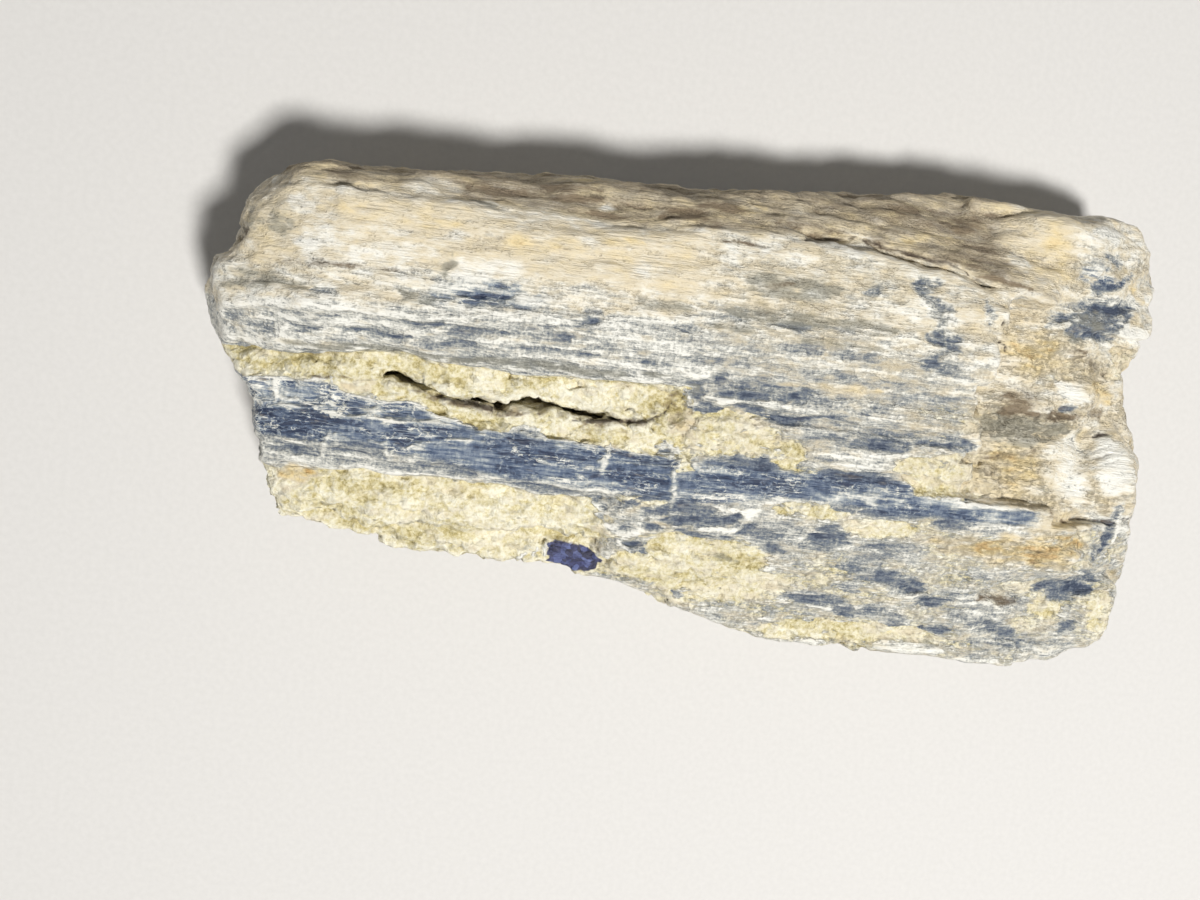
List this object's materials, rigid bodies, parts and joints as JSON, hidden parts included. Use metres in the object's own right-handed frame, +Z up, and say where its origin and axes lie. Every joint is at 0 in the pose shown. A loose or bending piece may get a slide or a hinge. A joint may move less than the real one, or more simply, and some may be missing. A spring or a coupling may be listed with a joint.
{
  "type": "kyanite specimen",
  "caption": "Rough hand specimen of bladed blue and white kyanite with pale quartz, a long slab of parallel blades that lies on its flat side.",
  "frame": {"origin": "middle of the footprint, on the plane that the specimen rests on", "axes": "+X along the blades towards the broken wide end, +Y towards the weathered back slope, +Z up"},
  "size_m": [0.13, 0.064, 0.031],
  "materials": {
    "kyanite_in_quartz": "natural cleavage and fracture: pearly striated blades, deep blue to white, with sugary cream quartz and tan iron stain"
  },
  "bodies": {
    "root": {"kyanite": "kyanite_in_quartz"}
  },
  "joints": []
}
